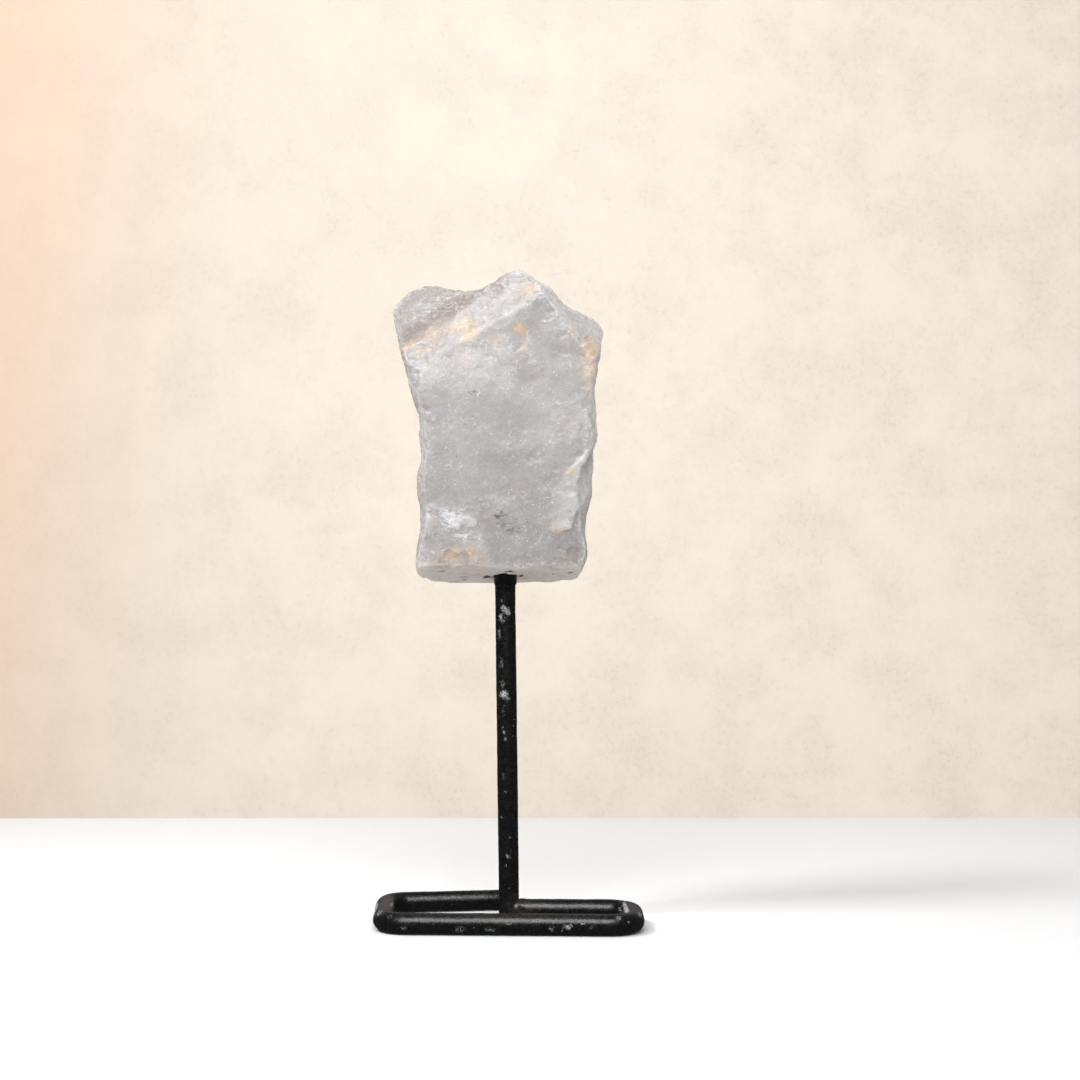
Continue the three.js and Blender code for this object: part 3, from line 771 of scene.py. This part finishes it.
class Nodes:
    """Builds a material or the room's light from nodes. An input may be a number, a colour or an output."""

    def __init__(self, owner):
        owner.use_nodes = True
        self.owner = owner
        self.tree = owner.node_tree
        self.tree.nodes.clear()

    def node(self, kind, inputs=None, out=0, **settings):
        made = self.tree.nodes.new("ShaderNode" + kind)
        for key, value in settings.items():
            setattr(made, key, value)
        for key, value in (inputs or {}).items():
            if isinstance(value, bpy.types.NodeSocket):
                self.tree.links.new(value, made.inputs[key])
            else:
                made.inputs[key].default_value = value
        return made.outputs[out]

    def place(self, at):
        """Where a point lies, in millimetres about a place in millimetres."""
        own = self.node("TexCoord", out="Object")
        moved = self.node("VectorMath", {0: own, 1: tuple(at * MM)}, operation="SUBTRACT")
        return self.node("VectorMath", {0: moved, "Scale": 1 / MM}, operation="SCALE")

    def along(self, where, way):
        """How far a place lies along a direction."""
        return self.node("VectorMath", {0: where, 1: way}, out="Value", operation="DOT_PRODUCT")

    def squeezed(self, where, shares, turn=0):
        """Places turned about the y axis and squeezed, so that a pattern read there is drawn out."""
        if turn:
            inputs = {"Vector": where, "Angle": math.radians(turn)}
            where = self.node("VectorRotate", inputs, rotation_type="Y_AXIS")
        return self.node("VectorMath", {0: where, 1: shares}, operation="MULTIPLY")

    def swayed(self, where, scale, reach):
        """Places moved about by soft noise, so that straight lines read there are bent."""
        drift = self.node("TexNoise", {"Vector": where, "Scale": scale, "Detail": 1.0}, out="Color")
        drift = self.node("VectorMath", {0: drift, "Scale": reach}, operation="SCALE")
        return self.node("VectorMath", {0: where, 1: drift})

    def noise(self, where, size, detail, roughness=0.5, distortion=0.0):
        inputs = {"Vector": where, "Scale": 1 / size, "Detail": detail}
        return self.node("TexNoise", inputs | {"Roughness": roughness, "Distortion": distortion})

    def cells(self, where, size, feature="F1", out="Distance"):
        return self.node("TexVoronoi", {"Vector": where, "Scale": 1 / size}, out=out, feature=feature)

    def lines(self, where, size, width, core=0.0):
        """Thin lines between the cells of a pattern, full in their core."""
        return self.step(self.cells(where, size, "DISTANCE_TO_EDGE"), width, core)

    def dots(self, where, size, rim, few):
        """Dots in a few of the cells of a pattern, with a soft rim."""
        pick = self.node("SeparateColor", {0: self.cells(where, size, out="Color")})
        return self.times(self.step(self.cells(where, size), *rim), self.step(pick, *few))

    def math(self, operation, *values):
        """One sum over all the values, two at a time."""
        first, *others = values
        for other in others:
            first = self.node("Math", {0: first, 1: other}, operation=operation)
        return first

    def times(self, *values):
        return self.math("MULTIPLY", *values)

    def most(self, *values):
        return self.math("MAXIMUM", *values)

    def total(self, *values):
        return self.math("ADD", *values)

    def ramp(self, value, low, high, start, end, kind="LINEAR"):
        inputs = {"Value": value, "From Min": low, "From Max": high, "To Min": start, "To Max": end}
        return self.node("MapRange", inputs, interpolation_type=kind)

    def step(self, value, low, high, start=0.0, end=1.0):
        return self.ramp(value, low, high, start, end, "SMOOTHSTEP")

    def mix(self, share, a, b):
        a, b = ((*c, 1.0) if isinstance(c, tuple) else c for c in (a, b))
        return self.node("Mix", {0: share, 6: a, 7: b}, out=2, data_type="RGBA")

    def over(self, below, share, most, above):
        """A colour laid over another one, as strongly as a mark's share of the most that it may be."""
        return self.mix(self.times(share, most), below, above)

    def blend(self, share, a, b):
        return self.node("Mix", {0: share, 2: a, 3: b}, out=0, data_type="FLOAT")

    def mark(self, name):
        return self.node("Attribute", out="Fac", attribute_name=name)

    def ragged(self, mark, grain, low, high, reach):
        """A soft mark with its edge broken up by a grain."""
        shift = self.times(self.math("SUBTRACT", grain, 0.5), reach)
        return self.step(self.total(mark, self.times(shift, self.step(mark, 0, 0.3))), low, high)

    def bump(self, *heights):
        """Fine relief, with its heights in millimetres."""
        return self.node("Bump", {"Height": self.total(*heights), "Distance": MM})

    def principled(self, **sockets):
        inputs = {key.replace("_", " "): value for key, value in sockets.items()}
        return self.shown(self.node("BsdfPrincipled", inputs))

    def shown(self, shader, output="OutputMaterial"):
        """Joins a shader to the output, and hands back what the nodes belong to."""
        made = self.tree.nodes.new("ShaderNode" + output)
        self.tree.links.new(shader, made.inputs["Surface"])
        return self.owner


# The stone's colours, in linear light
MILK, PALE_MILK = (0.41, 0.384, 0.372), (0.465, 0.442, 0.434)
CLOUDED = (0.525, 0.507, 0.508)
LOWER_RIGHT_PAINTED_SHADE = (0.365, 0.338, 0.325)
DARK_FACET, WEDGE_GROUND = (0.345, 0.313, 0.297), (0.275, 0.23, 0.205)
BAND_GROUND = (0.375, 0.34, 0.318)
SIDE_PAINTED_LIGHT, LEFT_RIM_PAINTED_SHADE = (0.63, 0.605, 0.59), (0.345, 0.325, 0.318)
UNDER, PALE_UNDER, UNDER_GRAIN = (0.42, 0.378, 0.345), (0.55, 0.51, 0.48), (0.62, 0.58, 0.55)
PALE_STREAK, PALE_VEIL = (0.63, 0.617, 0.625), (0.6, 0.59, 0.595)
PALE_PLATE, WHITE_LENS = (0.62, 0.6, 0.595), (0.7, 0.7, 0.71)
PEACH_STAIN, RUST_SPECK = (0.71, 0.5, 0.3), (0.32, 0.2, 0.1)
GREY_SMUDGE, CRUSHED = (0.13, 0.13, 0.142), (0.13, 0.13, 0.13)
BRUISE_AND_PAINTED_GLINT_WHITE, LIP_CHIP_AND_HIGHLIGHT_WHITE = (0.88, 0.9, 0.93), (0.75, 0.74, 0.72)
DARK_GRAIN, PIT_BROWN, SOOT_BLACK = (0.12, 0.09, 0.08), (0.07, 0.045, 0.035), (0.02, 0.018, 0.018)

# The stone's grain slants up to the right by so many degrees
GRAIN_TURN = 38


class Quartz(Nodes):
    """The nodes of the stone's material, with the patterns that its layers share."""

    def __init__(self):
        super().__init__(bpy.data.materials.new("milky_quartz"))
        at = self.at = self.place(STONE)
        self.level = self.squeezed(at, (0.4, 0.7, 1))
        self.cloud = self.noise(at, 16, 3, 0.55, 0.4)
        self.patch = self.noise(at, 4.5, 4, 0.6, 0.3)
        self.haze = self.noise(at, 2.1, 5, 0.68, 0.5)
        self.grain = self.noise(at, 0.6, 4, 0.7)
        self.top = self.math("SUBTRACT", 1.0, self.mark("under"))
        self.dark_face = self.step(self.mark("dark_face"), 0.4, 0.6)
        self.wedge = self.mark("wedge")
        self.flaky = self.mark("flaky")


def quartz_ground(m):
    """The milky ground, with painted shade towards the lower right, its darker facets, its sides painted
    paler as if better lit, and its browner underside.
    """
    colour = m.mix(m.step(m.cloud, 0.32, 0.68), MILK, PALE_MILK)
    colour = m.over(colour, m.step(m.patch, 0.35, 0.75), 0.25, CLOUDED)
    # Painted shade: the ground darkens towards the lower right
    colour = m.over(colour, m.step(m.along(m.at, (-0.6, 0, 1)), 42, 4), 0.5, LOWER_RIGHT_PAINTED_SHADE)
    colour = m.over(colour, m.dark_face, 0.8, DARK_FACET)
    colour = m.over(colour, m.times(m.step(m.wedge, 0.2, 0.9), m.dark_face), 0.75, WEDGE_GROUND)
    colour = m.over(colour, m.mark("band"), 0.65, BAND_GROUND)
    # Painted light: the sides are coloured paler than the lamps leave them
    colour = m.over(colour, m.mark("side"), 0.8, SIDE_PAINTED_LIGHT)
    under = m.mix(m.step(m.haze, 0.3, 0.68), UNDER, PALE_UNDER)
    under = m.over(under, m.step(m.grain, 0.6, 0.7), 0.35, UNDER_GRAIN)
    return m.over(colour, m.mark("under"), 0.95, under)


def quartz_veils(m, colour):
    """Soft pale streaks that lie with the grain, pale veils, the plate and the lenses."""
    slant = m.squeezed(m.at, (0.22, 0.6, 1), GRAIN_TURN)
    streak = m.times(m.step(m.noise(slant, 1.0, 4, 0.65), 0.52, 0.72), m.step(m.patch, 0.42, 0.62), m.top)
    colour = m.over(colour, streak, 0.3, PALE_STREAK)
    # Painted shade darkens the narrow strip along the left edge, where the left lamp lights it brightly
    colour = m.over(colour, m.mark("left_rim_painted_shade"), 0.7, LEFT_RIM_PAINTED_SHADE)
    clean = m.step(m.mark("dark_face"), 0.4, 0.6, 1.0, 0.35)
    colour = m.over(colour, m.times(m.mark("veil"), clean, m.step(m.haze, 0.34, 0.62)), 0.55, PALE_VEIL)
    fade = m.step(m.along(m.at, (1, 0, -0.1)), 10, 16.5, 0.25, 1.0)
    colour = m.over(colour, m.times(m.step(m.mark("plate"), 0.42, 0.58), fade), 0.55, PALE_PLATE)
    return m.over(colour, m.step(m.mark("lens"), 0.4, 0.6), m.step(m.haze, 0.35, 0.6, 0.2, 0.5), WHITE_LENS)


def quartz_stains(m, colour):
    """Peach stains, rusty specks and the grey smudge."""
    colour = m.over(colour, m.times(m.mark("peach"), m.step(m.haze, 0.3, 0.66)), 0.82, PEACH_STAIN)
    specks = m.step(m.noise(m.at, 0.4, 3, 0.75), 0.46, 0.56, 0.1, 1.0)
    colour = m.over(colour, m.step(m.times(m.mark("rust"), specks), 0.15, 0.6), 0.85, RUST_SPECK)
    scrape = m.step(m.noise(m.level, 0.9, 4, 0.75, 0.7), 0.44, 0.62, 0.14, 1.0)
    return m.over(colour, m.step(m.times(m.mark("smudge"), scrape), 0.05, 1.05), 0.8, GREY_SMUDGE)


def quartz_bruises_and_painted_glints(m):
    """Where the stone shows white: short bruises, most of them along the grain, cracks and edges, and among
    them painted highlights as white strokes and dots.
    """
    white = [m.times(m.step(m.flaky, 0.25, 1.0), m.step(m.noise(m.level, 0.5, 3, 0.75, 1.3), 0.54, 0.64))]
    patches = m.step(m.noise(m.at, 6, 4, 0.75), 0.44, 0.58)
    for turn, size in ((GRAIN_TURN, 0.3), (6, 0.27), (64, 0.23)):
        lie = m.squeezed(m.at, (0.28, 0.8, 1), turn)
        white.append(m.times(m.step(m.noise(lie, size, 1, 0.5, 0.4), 0.685, 0.745), patches))
    bent = m.swayed(m.at, 0.5, 2.6)
    white.append(m.times(m.lines(bent, 3.4, 0.03), m.step(m.haze, 0.53, 0.62), 0.7))
    shells = m.lines(m.squeezed(bent, (0.36, 0.5, 1)), 1.5, 0.1)
    white.append(m.times(shells, m.step(m.patch, 0.44, 0.56), m.step(m.flaky, 0.3, 0.9)))
    white.append(m.times(m.mark("edge"), m.step(m.noise(m.at, 0.45, 3, 0.7), 0.52, 0.62), 0.8))
    # Painted highlights: small white dots stand in for glints
    glints = m.dots(m.at, 0.8, (0.2, 0.08), (0.79, 0.82))
    white.append(m.times(glints, m.step(m.noise(m.at, 3.3, 3, 0.7), 0.45, 0.6)))
    return m.times(m.most(*white), m.top, m.step(m.wedge, 0.2, 0.9, 1.0, 0.45))


def quartz_material():
    m = Quartz()
    colour = quartz_stains(m, quartz_veils(m, quartz_ground(m)))
    # White bruises, cracks and edges, with painted highlights among them
    colour = m.over(colour, quartz_bruises_and_painted_glints(m), 0.78, BRUISE_AND_PAINTED_GLINT_WHITE)
    crushed = m.times(m.mark("crush"), m.step(m.noise(m.level, 0.55, 4, 0.8, 0.8), 0.5, 0.42))
    colour = m.over(colour, crushed, 0.7, CRUSHED)
    colour = m.over(colour, m.dots(m.at, 2.2, (0.095, 0.05), (0.6, 0.61)), 0.8, DARK_GRAIN)
    colour = m.over(colour, m.ragged(m.mark("pit"), m.grain, 0.3, 0.7, 0.8), 0.9, PIT_BROWN)
    # The chipped lip in white, partly a painted highlight along it
    colour = m.over(colour, m.times(m.mark("lip_chip_and_highlight"), m.step(m.grain, 0.4, 0.55)), 0.8, LIP_CHIP_AND_HIGHLIGHT_WHITE)
    soot = m.ragged(m.mark("soot"), m.noise(m.at, 1.2, 4, 0.75), 0.4, 0.7, 1.1)
    colour = m.over(colour, soot, 0.93, SOOT_BLACK)

    fine = m.noise(m.at, 1.5, 4, 0.65)
    broken = m.total(m.times(m.patch, 0.1), m.times(fine, 0.1))
    return m.principled(
        Base_Color=colour,
        Roughness=m.blend(m.mark("under"), m.step(fine, 0.3, 0.7, 0.17, 0.34), 0.6),
        IOR=1.54,
        Subsurface_Weight=0.8,
        Subsurface_Radius=(1.0, 0.93, 0.9),
        Subsurface_Scale=6 * MM,
        Normal=m.bump(broken, m.times(m.grain, 0.06), m.times(m.cells(m.at, 0.9), 0.04)),
    )


# The stand's colours, in linear light
PAINT_BLACK, PAINT_DUSTY, PAINT_RUST = (0.0035, 0.0035, 0.004), (0.009, 0.008, 0.007), (0.06, 0.042, 0.03)
DULL_METAL, BRIGHT_METAL = (0.06, 0.06, 0.063), (0.62, 0.62, 0.64)
WELD_DARK, WELD_BROWN, WELD_GRAIN = (0.006, 0.005, 0.005), (0.035, 0.022, 0.015), (0.12, 0.1, 0.08)
GLUE_BLACK, GLUE_GREY = (0.003, 0.003, 0.003), (0.009, 0.009, 0.009)


def iron_material():
    """Black paint, with bare metal in ragged chips, thin bent scratches, small flecks and worn places, which
    are also painted highlights.
    """
    m = Nodes(bpy.data.materials.new("black_iron"))
    at = m.place(FOOT)
    mottle = m.noise(at, 1.2, 4, 0.7)
    grain = m.noise(at, 0.35, 3, 0.6)
    colour = m.mix(m.step(mottle, 0.4, 0.7), PAINT_BLACK, PAINT_DUSTY)
    rusty = m.times(m.mark("rusty"), m.step(mottle, 0.35, 0.65, 0.3, 1.0))
    colour = m.over(colour, rusty, 0.8, PAINT_RUST)

    chip = m.ragged(m.mark("chip"), m.noise(at, 0.5, 5, 0.85, 0.8), 0.6, 0.72, 3.2)
    scratch = m.lines(m.swayed(at, 0.7, 2.0), 2.2, 0.045, 0.01)
    scratch = m.times(scratch, m.step(m.mark("chip"), 0.1, 0.5), m.step(mottle, 0.42, 0.55), 0.6)
    flecks = m.times(m.dots(at, 1.4, (0.1, 0.05), (0.8, 0.81)), 0.7)
    # Bright patches on the side rails: worn paint, and painted highlights where the rails catch the lamps
    worn_and_painted_highlight = m.ragged(m.mark("worn_and_painted_highlight"), m.noise(at, 0.4, 4, 0.8), 0.5, 0.68, 2.6)
    bare = m.most(chip, scratch, flecks, worn_and_painted_highlight)
    metal = m.mix(m.step(m.noise(at, 0.3, 2, 0.6), 0.38, 0.62), DULL_METAL, BRIGHT_METAL)
    return m.principled(
        Base_Color=m.mix(bare, colour, metal),
        Roughness=m.total(m.step(mottle, 0.3, 0.7, 0.2, 0.33), m.times(bare, 0.25), m.times(rusty, 0.1)),
        Specular_IOR_Level=0.8,
        Normal=m.bump(m.times(mottle, 0.06), m.times(grain, 0.07), m.times(bare, -0.02)),
    )


def weld_material():
    m = Nodes(bpy.data.materials.new("weld_iron"))
    at = m.place(FOOT)
    mottle = m.noise(at, 1.0, 4, 0.7)
    grain = m.noise(at, 0.35, 3, 0.65)
    colour = m.mix(m.step(mottle, 0.35, 0.7), WELD_DARK, WELD_BROWN)
    return m.principled(
        Base_Color=m.mix(m.step(grain, 0.66, 0.76), colour, WELD_GRAIN),
        Roughness=m.step(mottle, 0.3, 0.7, 0.45, 0.7),
        Specular_IOR_Level=0.4,
        Normal=m.bump(m.times(mottle, 0.1), m.times(grain, 0.06)),
    )


def glue_material():
    m = Nodes(bpy.data.materials.new("black_glue"))
    lumps = m.noise(m.place(FOOT), 0.9, 3, 0.6)
    return m.principled(
        Base_Color=m.mix(m.step(lumps, 0.35, 0.7), GLUE_BLACK, GLUE_GREY),
        Roughness=m.step(lumps, 0.3, 0.7, 0.25, 0.45),
        Specular_IOR_Level=0.4,
        Normal=m.bump(m.times(lumps, 0.08)),
    )


dress(make_stone(), quartz_material(), "quartz", "quartz")
iron = iron_material()
dress(make_post(), iron, "black_iron", "post_rod")
dress(make_base(), iron, "black_iron", "base_rod")
dress(make_weld(), weld_material(), "black_iron", "base_rod")
dress(make_glue(), glue_material(), "black_glue", "glue_bead")


# The studio: a white table, a cream wall behind it, and soft lamps

TABLE_SIDE = 1100
TABLE_FRONT = -430
WALL_BEHIND = 239
WALL_SIDE = 1500
WALL_BOTTOM = -20
WALL_TOP = 1700

CREAM, DEEPER_CREAM, CREAM_SPECKS = (0.70, 0.63, 0.545), (0.64, 0.577, 0.496), (0.5, 0.45, 0.385)
WALL_PAINTED_SHADE, WALL_PAINTED_GLOW = (0.42, 0.375, 0.32), (0.6, 0.37, 0.25)
TABLE_COOL, TABLE_PALE = (0.79, 0.81, 0.835), (0.81, 0.83, 0.855)
ROOM_SEEN, ROOM_LIGHT = (0.86, 0.80, 0.71, 1), (0.97, 0.98, 1, 1)


def plaster_material():
    """Cream plaster, with painted shade darkening it and then a painted orange glow towards the left, and
    see-through from behind.
    """
    m = Nodes(bpy.data.materials.new("cream_plaster"))
    at = m.place(FOOT)
    broad = m.noise(at, 34, 5, 0.7)
    colour = m.mix(m.step(broad, 0.35, 0.7), CREAM, DEEPER_CREAM)
    specks = m.step(m.noise(at, 2.2, 4, 0.8), 0.5, 0.7)
    colour = m.over(colour, specks, m.step(broad, 0.4, 0.65, 0.15, 0.5), CREAM_SPECKS)
    # Painted shade darkens the wall towards the left, and a painted orange glow lies at its far left
    left = m.along(at, (1, 0, -0.12))
    colour = m.mix(m.step(left, 0, -230, 0.0, 0.42), colour, WALL_PAINTED_SHADE)
    colour = m.mix(m.step(left, -130, -330, 0.0, 0.7), colour, WALL_PAINTED_GLOW)
    matt = m.node("BsdfDiffuse", {"Color": colour})
    glow = m.node("Emission", {"Color": colour, "Strength": 0.2})
    front = m.node("AddShader", {0: matt, 1: glow})
    behind = m.node("NewGeometry", out="Backfacing")
    return m.shown(m.node("MixShader", {0: behind, 1: front, 2: m.node("BsdfTransparent")}))


def table_material():
    m = Nodes(bpy.data.materials.new("white_table"))
    grain = m.noise(m.place(FOOT), 8, 1)
    return m.shown(m.node("BsdfDiffuse", {"Color": m.mix(grain, TABLE_COOL, TABLE_PALE)}))


def room():
    """The room round the studio: pale to the camera, dim in reflections."""
    w = Nodes(bpy.data.worlds.new("studio"))

    # Only glossy surfaces that face up mirror the paler room low down behind the object
    way = w.node("TexCoord", out="Generated")
    raised = w.ramp(w.node("SeparateXYZ", {0: way}, out="Z"), 0.02, 0.14, 0, 1)
    behind = w.ramp(w.node("SeparateXYZ", {0: way}, out="Y"), 0.5, 0.9, 0, 0.22)
    shine = w.total(w.times(raised, behind), 0.05)
    strength = w.ramp(w.node("LightPath", out="Is Glossy Ray"), 0, 1, 0.2, shine)

    cast = w.node("Background", {"Color": ROOM_LIGHT, "Strength": strength})
    seen = w.node("Background", {"Color": ROOM_SEEN})
    by_camera = w.node("LightPath", out="Is Camera Ray")
    return w.shown(w.node("MixShader", {0: by_camera, 1: cast, 2: seen}), "OutputWorld")


def sheet(name, corners, material):
    made = make(name, np.array(corners, float), [(0, 1, 2, 3)], FOOT)
    made.data.materials.append(material)
    made.visible_glossy = False


def lamp(name, at, aim, size, power, colour=(1, 1, 1), mirrored=False):
    light = bpy.data.lights.new(name, "AREA")
    light.shape = "RECTANGLE"
    light.size, light.size_y = size[0] * MM, size[1] * MM
    light.energy = power
    light.color = colour
    made = bpy.data.objects.new(name, light)
    scene.collection.objects.link(made)
    made.visible_glossy = mirrored
    made.location = Vector(at) * MM
    made.rotation_euler = (Vector(aim) - Vector(at)).to_track_quat("-Z", "Y").to_euler()


def at_wall(x, z):
    """A point of the wall, which stands square to the camera's view."""
    return x, WALL_BEHIND - math.tan(CAMERA_RIGHT) * x, z


sheet("table", [
    (-TABLE_SIDE, TABLE_FRONT, 0), (TABLE_SIDE, TABLE_FRONT, 0),
    at_wall(TABLE_SIDE, 0), at_wall(-TABLE_SIDE, 0),
], table_material())
sheet("wall", [
    at_wall(-WALL_SIDE, WALL_BOTTOM), at_wall(WALL_SIDE, WALL_BOTTOM),
    at_wall(WALL_SIDE, WALL_TOP), at_wall(-WALL_SIDE, WALL_TOP),
], plaster_material())

# Each lamp's place, what it is aimed at, its size and its watts
lamp("key", (-60, -500, 560), (0, 0, 60), (440, 440), 3.5, mirrored=True)
lamp("left", (-400, -165, 560), (0, 0, 110), (160, 160), 2.7)
lamp("right", (560, -330, 300), (0, 0, 110), (300, 360), 0.5)
lamp("wall_wash", (150, -200, 1100), (0, WALL_BEHIND, 300), (900, 300), 1.08, (1, 0.97, 0.93))
scene.world = room()
